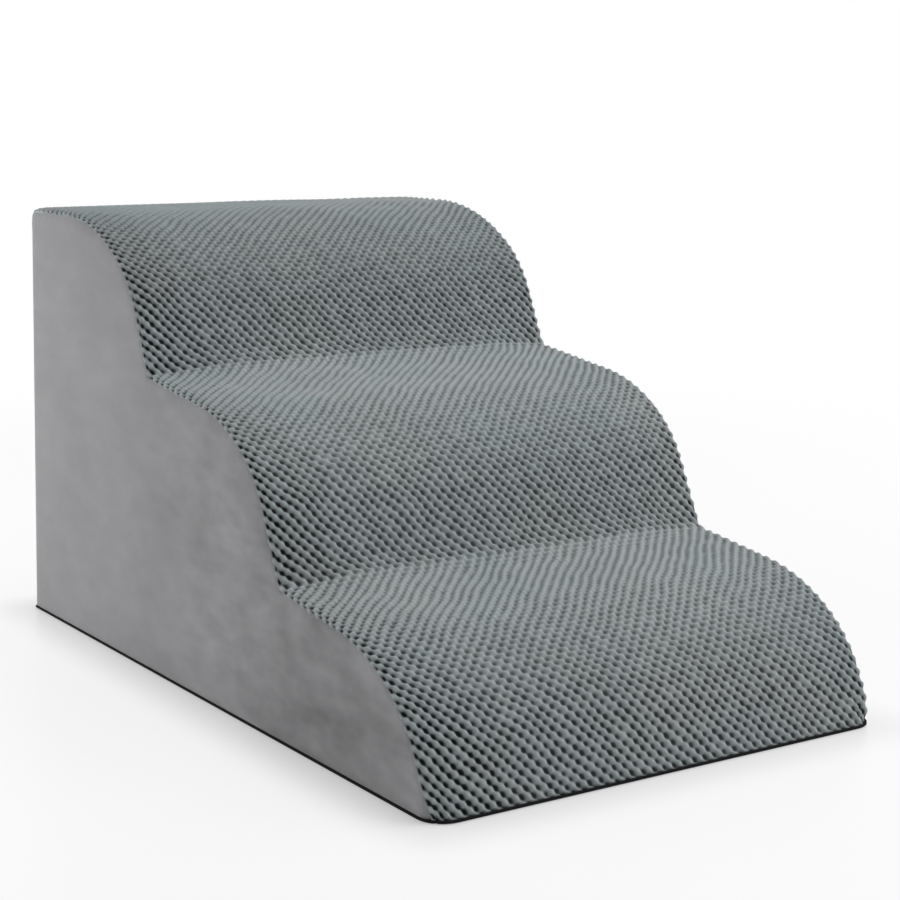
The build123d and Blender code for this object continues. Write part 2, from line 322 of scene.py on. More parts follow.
# Tread cover: a plush cloth with raised bobbles, cut in one length that runs from the floor over all three
# steps to the top rear edge. It is tight on the foam, bridges the valleys a little away from the side
# seams, and turns down over the sides, where the bobbles stand over the seam like beads.
pile_thickness = 0.004
bobble_depth = 0.0032
bobble_depth_at_seam = 0.0027
bobble_columns = 43
seam_to_pit = 0.0022
bobble_along = 0.0102
samples_a_bobble = 8
# Length and turn of the two bends that carry the cloth over the foam's side edges
slack_bend = (0.0075, -math.radians(32))
tight_bend = (0.0028, -math.radians(76))
seam_overhang = 0.0011
valley_at_seam = 0.007
valley_bridged = 0.042
bridge_reach = 0.075
end_tuck = 0.003
fold_depth = 0.005
fold_width = 0.004
# Slow swells away from the seams. Waves are the longest and the shortest length, and how many there are
undulation = 0.0011
undulation_dip = 0.5
undulation_waves = (0.24, 0.08, 8)
# The pits fade over this length towards the rear seam, to these shares in its middle and at its ends
rear_fade = 0.065
rear_pits = (0.35, 0.08)
back_thinning = 0.0022
back_thinning_reach = 0.040
corner_thinning = 0.0008
corner_lift = 0.5
corner_draw = 0.0021
toe_reach = 0.009
toe_draw = 0.5
corner_reach = 0.022
# At these slopes of the cloth: how much the ridges count, which run up to the right where it is negative,
# and how dark the painted shade in the pits is
slopes = np.radians([7, 36, 50, 65])
slants = (-0.45, 0.12, 0.34, 0.47)
pit_shade_by_slope = (0.20, 0.36, 0.52, 0.66)
slant_at_seam = 0.30
# For the left seam (-1) and the right one (1): how strongly it pulls the bobbles aslant and adds painted
# shade to the pits, and how far in
seam_pull_and_shade = {-1: (1.0, 0.085), 1: (0.35, 0.060)}
pit_sharpness = 1.15
# Painted shade in the pits, how much and within what length: near the floor, mostly at the left, and at the
# sides
pit_shade_low = (0.24, 0.26)
pit_shade_to_left = (0.6, 0.4)
pit_shade_at_seam = (0.32, 0.016)
wander = 0.0009
wander_waves = (0.19, 0.03)
unevenness = 0.11
unevenness_waves = (0.03, 0.011)
pile_colour = (0.312, 0.354, 0.359)
pile_grey = (0.330, 0.354, 0.361)
# Patches to the metre, and the values of their noise between which one colour goes over into the other
pile_colour_patches = (9, 0.4, 0.6)
# The pits' near-black is partly the cloth's dark ground and partly painted shade for their depth
pit_colour = (0.006, 0.007, 0.0075)
# The depths in a pit between which its colour comes in, and how much sooner it does where the painted pit
# shade is strongest
pit_edge = (0.52, 0.96)
pit_widening = 0.14
pit_fuzz = 0.16
fibres_per_metre, tufts_per_metre, clouds_per_metre = 1900, 330, 20
fibre_depth = 0.0004
plain_tone, fibre_tone, tuft_tone, cloud_tone = 0.96, 0.18, 0.34, 0.20
# Painted shade on the bobbles' sides: they darken towards the pits, more where the pit shade is strong
pit_side_shade = 0.74
pit_side_shade_parts = (0.27, 0.9)
# Painted shade over the top tier, which comes in between these heights
top_tier_shade = 0.14
top_tier_shade_heights = (0.25, 0.33)
cloth_specular = 0.15
pile_random = np.random.default_rng(11)


def ripple(across, along, longest, shortest, waves=14):
    """Smooth noise of about -1 to 1: a sum of sines with wavelengths from shortest to longest metres, each
    in a random direction and phase."""
    total = np.zeros(np.broadcast(across, along).shape)
    for length in np.geomspace(longest, shortest, waves):
        turn, phase = pile_random.uniform(0, 2 * math.pi, 2)
        total += np.sin(2 * math.pi / length * (across * math.cos(turn) + along * math.sin(turn)) + phase)
    return total / math.sqrt(waves)


def stair_moves(grow, valley):
    """The moves along all three steps for the foam's line moved out by grow, with each valley rounded to
    that radius. A rounded valley takes the radius times the tangent of half its turn from each straight."""
    moves = []
    turn = riser_lean - tread_fall
    shorter = (grow + valley) * math.tan(turn / 2)
    for going, rise, brow, fall in zip(goings, rises, brows, falls):
        riser, nose, brow_arc, tread = tier_moves(going, rise, brow, fall, grow)
        if moves:
            riser = (riser[0] - shorter, 0.0)
        moves += [riser, nose, brow_arc, tread]
        if fall:
            moves[-1] = (tread[0] - shorter, 0.0)
            moves.append((valley * turn, turn))
    moves.append(((back_corner_radius + grow) * math.pi / 2, -math.pi / 2))
    return moves


base_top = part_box("base_panel")[1].z
pile_foot = (toe[1] + pile_thickness * math.cos(riser_lean) - base_top) / math.sin(riser_lean)
cover_start = (
    toe[0] - pile_thickness * math.sin(riser_lean) - pile_foot * math.cos(riser_lean),
    toe[1] + pile_thickness * math.cos(riser_lean) - pile_foot * math.sin(riser_lean),
)
lines, line_marks = [], []
for valley in (valley_at_seam, valley_bridged):
    moves = stair_moves(pile_thickness, valley)
    moves[0] = (moves[0][0] + pile_foot, 0.0)
    lines.append(walk(cover_start, riser_lean, moves))
    line_marks.append(np.cumsum([0.0] + [length for length, _ in moves]))
cover_length = line_marks[0][-1]
# Marks count the moves' ends. On both lines the start, the ends of the risers and of the brows and the rear
# seam are the same places, and the valleys turn between marks 4 and 5 and marks 9 and 10
shared_marks = [0, 1, 3, 6, 8, 11, 13, 15]
valley_marks = np.array([4, 9])

bend_reach = walk((0.0, 0.0), 0.0, [slack_bend, tight_bend])[1].max()
cover_flat = cad_high.x + seam_overhang - bend_reach
section_along, section_x, section_up, section_heading = walk(
    (0.0, 0.0), 0.0, [(cover_flat, 0.0), slack_bend, tight_bend]
)
cover_half = section_along[-1]
bobble_across = 2 * (cover_half - seam_to_pit) / bobble_columns

columns = 2 * round(cover_half / bobble_across * samples_a_bobble) + 1
rows = round(cover_length / bobble_along * samples_a_bobble) + 1
u = np.linspace(-cover_half, cover_half, columns)[None, :]
s = np.linspace(0, cover_length, rows)[:, None]

# The bobbles: the product of two cosines puts pits and bobbles in a chequerboard. A slanted cosine links the
# bobbles in ridges, which run down to the right on the risers and up to the right on the treads, and more so
# where the seams pull. The pits carry a painted shade, darkest there, on the steep parts and low on the left
across = 2 * math.pi * (u + wander * ripple(u, s, *wander_waves)) / bobble_across
along = 2 * math.pi * (s + wander * ripple(u, s, *wander_waves)) / bobble_along
from_edge = cover_half - np.abs(u)
from_end = np.minimum(s, cover_length - s)
# How far the seams pull the bobbles aslant, and how much painted shade that adds to the pits, more at the
# left
pulled_and_shaded = sum(
    most * smooth(1 - (cover_half - side * u) / reach) for side, (most, reach) in seam_pull_and_shade.items()
)
lean = np.interp(s, lines[0][0], lines[0][3])
slant = np.interp(lean, slopes, slants) + slant_at_seam * pulled_and_shaded
ridges = np.where(slant > 0, np.cos(across + along), np.cos(across - along))
wave = (np.cos(across) * np.cos(along) + np.abs(slant) * ridges) / (1 + np.abs(slant))
# Painted shade in the pits: by slope, where the seams pull, low on the left and at the sides
painted_pit_shade = np.interp(lean, slopes, pit_shade_by_slope) + (1 - pit_shade_by_slope[-1]) * pulled_and_shaded
to_left = pit_shade_to_left[0] - pit_shade_to_left[1] * u / cover_half
painted_pit_shade = painted_pit_shade + pit_shade_low[0] * to_left * smooth(1 - s / pit_shade_low[1])
painted_pit_shade = painted_pit_shade + pit_shade_at_seam[0] * smooth(1 - from_edge / pit_shade_at_seam[1])
painted_pit_shade = np.minimum(painted_pit_shade, 1)
pit = np.clip((wave + 1) / 2, 0, 1) ** pit_sharpness
pit = np.clip(pit * (1 + unevenness * ripple(u, s, *unevenness_waves)), 0, 1)
at_seam = smooth(1 - from_edge / corner_reach)
least = rear_pits[0] + (rear_pits[1] - rear_pits[0]) * at_seam
pit = pit * (least + (1 - least) * smooth((cover_length - s) / rear_fade))
in_flange = smooth((np.abs(u) - cover_flat) / slack_bend[0])
sunk = np.maximum(pit, 1 - from_end / end_tuck - in_flange)
relief = np.interp(
    np.abs(u), [cover_flat, cover_flat + slack_bend[0]], [bobble_depth, bobble_depth_at_seam]
)

# The place across comes from the section, and the place along from two lines, one at the seams and one
# that bridges the valleys. The cloth thins towards the rear seam, and its corners draw in
turn = -np.interp(np.abs(u), section_along, section_heading)
x = np.sign(u) * (np.interp(np.abs(u), section_along, section_x) - sunk * relief * np.sin(turn))
at_back = smooth(1 - (cover_length - s) / back_thinning_reach)
x = x - np.sign(u) * corner_draw * in_flange * (at_back + toe_draw * smooth(1 - s / toe_reach))
drop = -np.interp(np.abs(u), section_along, section_up) * (1 - corner_lift * at_back)
depth = sunk * relief * np.cos(turn) + drop + (back_thinning + corner_thinning * at_seam) * at_back
bridged = smooth(from_edge / bridge_reach)
free = bridged * smooth(from_end / bridge_reach)
depth = depth - undulation * free * np.maximum(ripple(u, s, *undulation_waves), -undulation_dip)
seam_line = [np.interp(s, lines[0][0], part) for part in lines[0][1:]]
bridged_s = np.interp(s, line_marks[0][shared_marks], line_marks[1][shared_marks])
bridged_line = [np.interp(bridged_s, lines[1][0], part) for part in lines[1][1:]]
y, z, heading = (near + (far - near) * bridged for near, far in zip(seam_line, bridged_line))
cover_points = np.stack([x, y + depth * np.sin(heading), z - depth * np.cos(heading)], -1)

# Both long edges are folded in behind the surface
long_edges = [0, -1]
folds = cover_points[:, long_edges] * (1 - fold_width / cover_half, 1, 1)
folds[..., 1] += fold_depth * np.sin(heading[:, long_edges])
folds[..., 2] -= fold_depth * np.cos(heading[:, long_edges])
cover_points = np.concatenate([folds[:, :1], cover_points, folds[:, 1:]], 1)
pit, painted_pit_shade = (np.pad(values, ((0, 0), (1, 1)), mode="edge") for values in (pit, painted_pit_shade))
cover_points[..., 2] = np.maximum(cover_points[..., 2], base_top)
cover_points = round_toe(cover_points)

pile = Finish("bobbled_pile", roughness=0.9, sheen_weight=0.08, sheen_roughness=0.4)
pile.shader.inputs["Specular IOR Level"].default_value = cloth_specular
in_pit = pile.node("ShaderNodeAttribute", {"attribute_name": "pit"}, output="Fac")
pit_shade = pile.node("ShaderNodeAttribute", {"attribute_name": "pit_shade"}, output="Fac")
fibres, tufts, pile_clouds = map(pile.noise, (fibres_per_metre, tufts_per_metre, clouds_per_metre))
patches, *patch_edge = pile_colour_patches
cloth = pile.mix(pile.between(pile.noise(patches), *patch_edge), pile_colour, pile_grey)
fuzzy_pit = in_pit + pit_fuzz * (fibres - 0.5)
# The pits go near-black where they are deep, and sooner where their painted shade is strong
dark = pit_shade * pile.between(fuzzy_pit, *(edge - pit_widening * pit_shade for edge in pit_edge))
tone = plain_tone + fibre_tone * fibres + tuft_tone * tufts + cloud_tone * pile_clouds
# Painted shade: the bobbles darken into the pits
tone = tone - pit_side_shade * in_pit * (pit_side_shade_parts[0] + pit_side_shade_parts[1] * pit_shade)
# Painted shade: the top tier is darker
tone = tone * (1.0 - top_tier_shade * pile.between(pile.coordinate("Z"), *top_tier_shade_heights))
pile.feed(
    base_color=pile.mix(dark, pile.shade(cloth, tone), pit_colour),
    normal=pile.bump(fibres, fibre_depth),
)

# The cloth is built in three parts that meet in the middle of each valley
valley_middles = (line_marks[0][valley_marks] + line_marks[0][valley_marks + 1]) / 2
cuts = [0, *np.searchsorted(s[:, 0], valley_middles), rows - 1]
for level, first, last in zip(levels, cuts, cuts[1:]):
    part = cover_points[first:last + 1]
    faces = tube_faces(*part.shape[:2])
    cover = new_piece(f"pile_cover_{level}", part.reshape(-1, 3), *faces, crisp_over=75)
    for label, values in (("pit", pit), ("pit_shade", painted_pit_shade)):
        attribute = cover.data.attributes.new(label, "FLOAT", "POINT")
        attribute.data.foreach_set("value", values[first:last + 1].astype(np.float32).ravel())
    dress(cover, pile, "stairs", "pile_cloth", "tread_cover")
    length = (last - first) / (rows - 1) * cover_length
    2 * cover_half

# Side panels: a smooth short-nap cloth, cut to the outline of the steps and sewn to the tread cover from
# the inside. The cloth rolls into the seam all round, puckers a little along the curved edge and shows the
# seam allowance that lies under it. Its nap looks blotchy, most of all towards the front.
velvet_thickness = 0.0015
velvet_roll = 0.0012
velvet_crown = 0.0012
crown_reach = 0.045
crown_power = 0.7
soft_edge_reach = 0.009
soft_edge_fall = 0.0010
velvet_wave = 0.0004
velvet_waves = (0.3, 0.09, 8)
velvet_wave_fade = 0.010
pucker_depth = 0.00022
pucker_length = 0.018
pucker_reach = 0.008
pucker_start = 0.003
pucker_drift = 2
pucker_drift_waves = (0.2, 0.05)
allowance_width = 0.0065
allowance_rise = 0.00035
allowance_edge = 0.002
seam_valley = 0.004
seam_inset = 0.0006
seam_start = 0.0015
side_columns = 420
rear_reach = 0.006
rear_columns = 11
low_edge_stride = 6
toe_tuck_depth = 0.0014
toe_tuck_reach = 0.014
side_rows = 60
roll_steps = 6
roll_share = 0.2
velvet_colour = (0.269, 0.269, 0.276)
velvet_tone = 0.95
# Painted light and shade towards the rear: the cloth is lighter near the floor and darker near the top
rear_painted_light_low = 0.06
rear_painted_shade_up = 0.13
# The places along minus Y between which the rear's look goes over into the front's
rear_to_front = (-0.15, 0.15)
nap_per_metre = 2600
nap_tone = 0.10
nap_depth = 0.00012
# Blotches to the metre, their detail and their stretch
fine_blotches = (48, 5.0, (1, 0.6, 1.3))
broad_blotches = (14, 3.0, (1, 0.55, 1))
# What the blotches change at the rear, and what they change more at the front
blotch_tones = (0.25, 0.55)


def rows_between(near, far, rows):
    """Points on straight lines from each near point to its far point. The first and last few rows lie close
    to the ends, where the cloth rolls over, and the rest are even."""
    length = np.linalg.norm(far - near, axis=-1)
    close = velvet_roll * (1 - np.cos(np.linspace(0, math.pi / 2, roll_steps)))[:, None]
    close = np.minimum(close, length * np.linspace(0, roll_share, roll_steps)[:, None])
    start, end = close[-1], length - close[-1]
    even = start + (end - start) * np.linspace(0, 1, rows)[1:-1, None]
    travel = np.concatenate([close, even, (length - close)[::-1]])
    return near + (far - near) * (travel / length)[..., None], travel


def nearest_edge(points, edge):
    """The distance from each point to the closed line through the edge's points: to each straight between
    two of them, the distance to the foot of the perpendicular, held within its ends."""
    best = np.full(points.shape[:-1], np.inf)
    for start, step in zip(edge, np.roll(edge, -1, 0) - edge):
        away = points - start
        foot = np.clip((away @ step) / max(step @ step, 1e-12), 0, 1)
        best = np.minimum(best, np.linalg.norm(away - foot[..., None] * step, axis=-1))
    return best


def velvet_stand(grid, distance):
    """How far the cloth's face stands out of its plane: a crown in the middle, a soft fall towards the
    edges, the drop of a quarter circle where the cloth rolls into the seam, and slow waves."""
    crown = velvet_crown * np.clip(distance / crown_reach, 0, 1) ** crown_power
    crown = crown - soft_edge_fall * (1 - smooth(distance / soft_edge_reach))
    waves = velvet_wave * ripple(grid[..., 0], grid[..., 1], *velvet_waves)
    waves = waves * np.clip(distance / velvet_wave_fade, 0, 1)
    near = np.clip(1 - distance / velvet_roll, 0, 1)
    return crown + waves - velvet_roll * (1 - np.sqrt(1 - near**2))


def backed(name, face, back_step, crisp_over=60):
    """A closed piece of cloth: a grid of points for its face, whose rows times columns point outwards, and
    the same outline moved by back_step and closed with one flat cap."""
    rows, columns = face.shape[:2]
    index = np.arange(rows * columns).reshape(rows, columns)
    quads = np.stack([index[:-1, :-1], index[1:, :-1], index[1:, 1:], index[:-1, 1:]], -1).reshape(-1, 4)
    rim = np.concatenate([index[:-1, 0], index[-1, :-1], index[:0:-1, -1], index[0, :0:-1]])
    points = face.reshape(-1, 3)
    behind = rows * columns + np.arange(len(rim))
    sides = np.stack([rim, behind, np.roll(behind, -1), np.roll(rim, -1)], -1)
    points = np.concatenate([points, points[rim] + back_step])
    return new_piece(name, points, np.concatenate([quads, sides]), [behind[::-1]], crisp_over)


velvet = Finish("short_nap_velvet", roughness=0.85, sheen_weight=0.20, sheen_roughness=0.35)
velvet.shader.inputs["Specular IOR Level"].default_value = cloth_specular
nap = velvet.noise(nap_per_metre)
blotches = velvet.noise(*fine_blotches) + velvet.noise(*broad_blotches) - 1.0
to_front = velvet.between(0.0 - velvet.coordinate("Y"), *rear_to_front)
upwards = velvet.between(velvet.coordinate("Z"), 0.0, cad_high.z)
# Painted light low and painted shade high, both fading out towards the front
tone = velvet_tone + (1.0 - to_front) * (rear_painted_light_low - rear_painted_shade_up * upwards)
tone = tone + nap_tone * nap + (blotch_tones[0] + blotch_tones[1] * to_front) * blotches
velvet.feed(base_color=velvet.shade(velvet_colour, tone), normal=velvet.bump(nap, nap_depth))

seam_along, seam_y, seam_z, seam_heading = walk(toe, riser_lean, stair_moves(0.0, seam_valley))
seam_y = seam_y + seam_inset * np.sin(seam_heading)
seam_z = seam_z - seam_inset * np.cos(seam_heading)
seam_s = np.linspace(seam_start, seam_along[-1] - rear_reach, side_columns)
rear_s = seam_along[-1] - rear_reach * (1 - np.sin(np.linspace(0, math.pi / 2, rear_columns)))
seam_s = np.concatenate([seam_s, rear_s[1:]])
top_edge = np.stack([np.interp(seam_s, seam_along, part) for part in (seam_y, seam_z)], -1)
back_face_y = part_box("back_panel")[1].y
corner_inset = velvet_roll + soft_edge_fall
top_edge[:, 0] = np.minimum(top_edge[:, 0], back_face_y - corner_inset)
low_share = (seam_s - seam_s[0]) / (seam_s[-1] - seam_s[0])
low_y = top_edge[0, 0] + (top_edge[-1, 0] - top_edge[0, 0]) * low_share
low_edge = np.stack([low_y, np.full(len(seam_s), base_top)], -1)
side_grid, from_seam = rows_between(top_edge, low_edge, side_rows)
edge_distance = nearest_edge(side_grid, np.concatenate([top_edge, low_edge[::-low_edge_stride]]))

# The puckers are a sine along the seam that fades away from it. The allowance is a low step beside the
# curved seam, and the cloth is tucked in a little at the toe
drift = pucker_drift * ripple(seam_s, 0.0, *pucker_drift_waves)
pucker = pucker_depth * np.sin(2 * math.pi * seam_s / pucker_length + drift)
pucker = pucker * np.exp(-((from_seam / pucker_reach) ** 2)) * np.clip(from_seam / pucker_start, 0, 1)
curve_distance = nearest_edge(side_grid, np.concatenate([top_edge, top_edge[::-1]]))
allowance = allowance_rise * smooth((allowance_width - curve_distance) / allowance_edge)
allowance = allowance * smooth(edge_distance / allowance_edge)
from_toe = np.hypot(side_grid[..., 0] - toe[0], side_grid[..., 1])
tucked = toe_tuck_depth * smooth(1 - from_toe / toe_tuck_reach)
velvet_area = float(np.diff(seam_y) @ (seam_z[1:] + seam_z[:-1]) / 2)
for side_name, side in (("left", -1), ("right", 1)):
    stand = velvet_stand(side_grid, edge_distance) + pucker + allowance - tucked
    face = round_toe(np.concatenate([side * (cad_high.x + stand)[..., None], side_grid], -1))
    face = face if side > 0 else face[:, ::-1]
    panel = backed(f"velvet_side_{side_name}", face, (-side * velvet_thickness, 0, 0))
    dress(panel, velvet, "stairs", "velvet", f"side_panel_{side_name}")

# Back: the same cloth, in one panel above the zip and a hem below it. Both are folded in along the zip's
# opening and stitched through 3 mm from the fold, and they meet beyond the opening's ends.
opening_half_length = 0.186
opening_half_width = 0.0085
opening_radius = 0.003
opening_fold = 0.003
groove_depth = 0.00035
groove_width = 0.0007
back_seam_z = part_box("back_panel")[1].z
zip_z = (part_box("zip_tape_upper")[0].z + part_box("zip_tape_lower")[1].z) / 2
back_columns_along = 260
back_rows = 70
hem_rows = 14
corner_steps = 8
end_rise_steps = 4
end_steps = 14


def opening_edge(side):
    """Half of the zip's opening from left to right, on the upper or lower side: in from the panel's edge,
    round the first corner, along the opening, round the second corner and out."""
    turn = np.linspace(0, math.pi / 2, corner_steps)
    corner_x = opening_half_length - opening_radius * (1 - np.sin(turn))
    corner_z = opening_half_width - opening_radius * (1 - np.cos(turn))
    rise = np.linspace(0, opening_half_width - opening_radius, end_rise_steps + 1)[:-1]
    beyond = cad_high.x - corner_inset - opening_half_length
    out = opening_half_length + beyond * np.cos(np.linspace(0, math.pi / 2, end_steps))[:-1]
    end_x = np.concatenate([corner_x, np.full(end_rise_steps, opening_half_length), out[::-1]])
    end_z = np.concatenate([corner_z, rise[::-1], np.zeros(len(out))])
    straight = np.linspace(-corner_x[0], corner_x[0], back_columns_along)[1:-1]
    x = np.concatenate([-end_x[::-1], straight, end_x])
    z = np.concatenate([end_z[::-1], np.full(len(straight), opening_half_width), end_z])
    return np.stack([x, zip_z + side * z], -1)


for name, side, far_z, node, rows in (
    ("velvet_back", 1, back_seam_z, "back_panel", back_rows),
    ("velvet_hem", -1, base_top, "back_hem", hem_rows),
):
    # The far edge is straight, and its points are spread as the near ones are along their line
    near = opening_edge(side)
    away = np.concatenate([[0.0], np.cumsum(np.linalg.norm(np.diff(near, axis=0), axis=1))])
    far_x = near[-1, 0] * (2 * away / away[-1] - 1)
    far = np.stack([far_x, np.full(len(near), far_z)], -1)
    grid, _ = rows_between(near, far, rows)
    distance = nearest_edge(grid, np.concatenate([near, far[::-1]]))
    stand = velvet_stand(grid, distance)
    fold_distance = nearest_edge(grid, near[end_steps - 1:1 - end_steps])
    stand = stand - groove_depth * np.exp(-(((fold_distance - opening_fold) / groove_width) ** 2))
    face = np.stack([grid[..., 0], back_face_y + stand, grid[..., 1]], -1)
    face = face if side > 0 else face[:, ::-1]
    panel = backed(name, face, (0, -velvet_thickness, 0))
    dress(panel, velvet, "stairs", "velvet", node)

# Base: an anti-slip cloth sewn under the stairs. Its edge turns up in a thin dark roll along the floor, whose
# height and near-black colour also paint the shadow line there, and rows of small rubber dots on its
# underside grip the floor.
rim_height = 0.0025
rim_out = 0.0006
rim_inset = 0.006
rim_lip = 0.001
rim_turn = math.radians(135)
rim_steps = 9
plan_corner = 0.004
plan_corner_steps = 6
plan_close_steps = 6
dot_pitch = 0.011
dot_radius = 0.0024
dot_height = 0.0006
dot_margin = 0.010
dot_profile = ((0.55, 0.0), (0.88, 0.2), (1.0, 0.6), (1.0, 1.15))
dot_sides = 8
# Near-black: partly the cloth's own colour and partly painted shade for the line along the floor
grip_colour = (0.015, 0.015, 0.016)
grip_specular = 0.03
grip_threads_per_metre = 1500
grip_tones = (0.7, 0.6)
grip_depth = 0.0002
dot_colour = (0.010, 0.010, 0.011)


def stamped(name, ring_radii, ring_heights, sides, places, axes=None):
    """One mesh of many small turned shapes: rings of points about an axis, closed with a cap at both ends,
    and a copy at each place. axes holds three unit vectors, and the third is the axis of the rings."""
    axes = np.eye(3) if axes is None else axes
    turn = np.linspace(0, 2 * math.pi, sides, endpoint=False)
    ring = np.stack([np.cos(turn), np.sin(turn)], -1)
    shape = np.array(ring_radii)[:, None, None] * ring
    heights = np.broadcast_to(np.array(ring_heights)[:, None, None], (len(ring_heights), sides, 1))
    shape = np.concatenate([shape, heights], -1).reshape(-1, 3) @ axes
    points = (places[:, None] + shape).reshape(-1, 3)
    quads, caps = tube_faces(len(ring_radii), sides)
    step = np.arange(len(places))[:, None] * len(shape)
    quads = (quads.ravel() + step).reshape(-1, 4)
    return new_piece(name, points, quads, [*(caps[0] + step), *(caps[1] + step)])


grip = Finish("anti_slip_cloth", roughness=0.9)
grip.shader.inputs["Specular IOR Level"].default_value = grip_specular
weave = grip.noise(grip_threads_per_metre)
grip.feed(
    base_color=grip.shade(grip_colour, grip_tones[0] + grip_tones[1] * weave),
    normal=grip.bump(weave, grip_depth),
)

# The outline in plan is a rectangle with rounded corners, as points and the directions outwards there
base_low, base_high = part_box("base_panel")
turn = np.linspace(0, math.pi / 2, plan_corner_steps)
quarter = np.stack([np.cos(turn), np.sin(turn)], -1)
plan_middle = np.array([(base_low.x + base_high.x) / 2, (base_low.y + base_high.y) / 2])
plan_half = np.array([base_high.x - base_low.x, base_high.y - base_low.y]) / 2 - plan_corner
close = np.arange(1, plan_close_steps + 1) * plan_corner
plan_points, plan_normals = [], []
for number, signs in enumerate(((1, 1), (-1, 1), (-1, -1), (1, -1))):
    # One quarter circle, and the straight side after it, with points close to both of its ends
    cosine, sine = math.cos(number * math.pi / 2), math.sin(number * math.pi / 2)
    normals = quarter @ np.array([[cosine, sine], [-sine, cosine]])
    arc = plan_middle + signs * plan_half + normals * plan_corner
    ahead = np.array([-normals[-1, 1], normals[-1, 0]])
    side_length = 2 * abs(ahead @ plan_half)
    travel = np.concatenate([close, side_length - close[::-1]])[:, None]
    plan_points += [arc, arc[-1] + travel * ahead]
    plan_normals += [normals, np.repeat(normals[-1:], len(travel), 0)]
plan_points, plan_normals = np.concatenate(plan_points), np.concatenate(plan_normals)

# The section goes from the underside out, round the roll and back over the cloth. The roll's underside is
# half a dot's height above the floor
bead = rim_height / 2 - dot_height / 4
turn = np.linspace(-math.pi / 2, rim_turn, rim_steps)
bead_out = rim_out - bead + bead * np.cos(turn)
bead_up = rim_height - bead + bead * np.sin(turn)
section_out = np.array([-rim_inset, *bead_out, bead_out[-1] - rim_lip, -rim_inset])
section_up = np.array([dot_height, *bead_up, base_top, base_top])
rings = plan_points + section_out[:, None, None] * plan_normals
heights = np.broadcast_to(section_up[:, None, None], (*rings.shape[:2], 1))
base_points = round_toe(np.concatenate([rings, heights], -1))
base = new_piece("base_cloth", base_points.reshape(-1, 3), *tube_faces(*rings.shape[:2]))
dress(base, grip, "stairs", "grip_cloth", "base_panel")

rubber = Finish("rubber_dots", base_color=dot_colour, roughness=0.55)
dot_x = np.arange(base_low.x + dot_margin, base_high.x - dot_margin, dot_pitch)
dot_y = np.arange(base_low.y + dot_margin, base_high.y - dot_margin, dot_pitch * math.sin(math.pi / 3))
dot_rows = np.stack(np.broadcast_arrays(dot_x[None, :], dot_y[:, None], 0.0), -1)
dot_rows[1::2, :, 0] += dot_pitch / 2
places = dot_rows.reshape(-1, 3)
places = places[places[:, 0] < base_high.x - dot_margin / 2]
dot_radii, dot_heights = (np.array(dot_profile) * (dot_radius, dot_height)).T
dots = stamped("grip_dots", dot_radii, dot_heights, dot_sides, places)
dress(dots, rubber, "stairs", "grip_cloth")

# Zip tapes: woven polyester with a corded edge that the teeth are moulded over. They are sewn behind the
# fold of the back cloth and run a little past both ends of its opening, where they meet and sink behind it.
cord_radius = 0.00055
cord_half_width = 0.0006
inner_rounding = 0.0005
outer_rounding = 0.0003
thinnest_share = 0.01
tape_ridge = 0.00003
tape_ridge_pitch = 0.0021
tape_sway = 0.00008
tape_sway_waves = (0.12, 0.03, 8)
tape_rows = 385
tape_face_points = 26
# How far the tapes move, from what distance off the middle on, and over what length
tape_meet = (0.0021, 0.1775, 0.003)
tape_sink = (0.0014, 0.184, 0.002)
tape_colour = (0.045, 0.046, 0.050)
rib_pitch = 0.0009
rib_depth = 0.00012
rib_zigzag = 0.0022
tape_threads_per_metre = 3000
plain_tape_tone, rib_tone, thread_tone = 0.55, 0.5, 0.4

tape_weave = Finish("woven_tape", roughness=0.75, sheen_weight=0.1)
up_z = tape_weave.coordinate("Z")
zigzag = up_z.maths("PINGPONG", up_z, rib_zigzag)
ribs = (2 * math.pi / rib_pitch) * (tape_weave.coordinate("X") + zigzag)
ribs = 0.5 + 0.5 * ribs.maths("SINE", ribs)
threads = tape_weave.noise(tape_threads_per_metre)
tone = plain_tape_tone + rib_tone * ribs + thread_tone * threads
tape_weave.feed(
    base_color=tape_weave.shade(tape_colour, tone),
    normal=tape_weave.bump(ribs, rib_depth),
)

for row_name, side in (("upper", 1), ("lower", -1)):
    low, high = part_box(f"zip_tape_{row_name}")
    middle_y, half = (low.y + high.y) / 2, (high.y - low.y) / 2
    inner_z = low.z if side > 0 else high.z
    width = high.z - low.z
    # Half of the thickness, from the cord outwards. Both edges are rounded by a quarter circle
    across = np.linspace(0, width, tape_face_points)
    thick = half + (cord_radius - half) * np.exp(-(((across - cord_radius) / cord_half_width) ** 4))
    for from_side, rounding in ((across, inner_rounding), (width - across, outer_rounding)):
        rounded = 1 - (1 - from_side / rounding).clip(0) ** 2
        thick = thick * np.sqrt(np.clip(rounded, thinnest_share, 1))
    thick = thick + tape_ridge * np.cos(2 * math.pi * across / tape_ridge_pitch)
    ring_z = inner_z + side * np.concatenate([across, across[::-1]])
    ring_y = np.concatenate([thick, -thick[::-1]])
    stations = np.linspace(low.x, high.x, tape_rows)[:, None]
    if side < 0:
        ring_z, ring_y = ring_z[::-1], ring_y[::-1]
    sway = tape_sway * ripple(stations, 0.0, *tape_sway_waves)
    meets, sinks = (
        amount * smooth((np.abs(stations) - start) / over) for amount, start, over in (tape_meet, tape_sink)
    )
    parts = np.broadcast_arrays(stations, middle_y + ring_y + sway - sinks, ring_z - side * meets)
    points = np.stack(parts, -1)
    faces = tube_faces(*points.shape[:2])
    tape = new_piece(f"woven_tape_{row_name}", points.reshape(-1, 3), *faces)
    dress(tape, tape_weave, "stairs", "zip_tape", f"zip_tape_{row_name}")

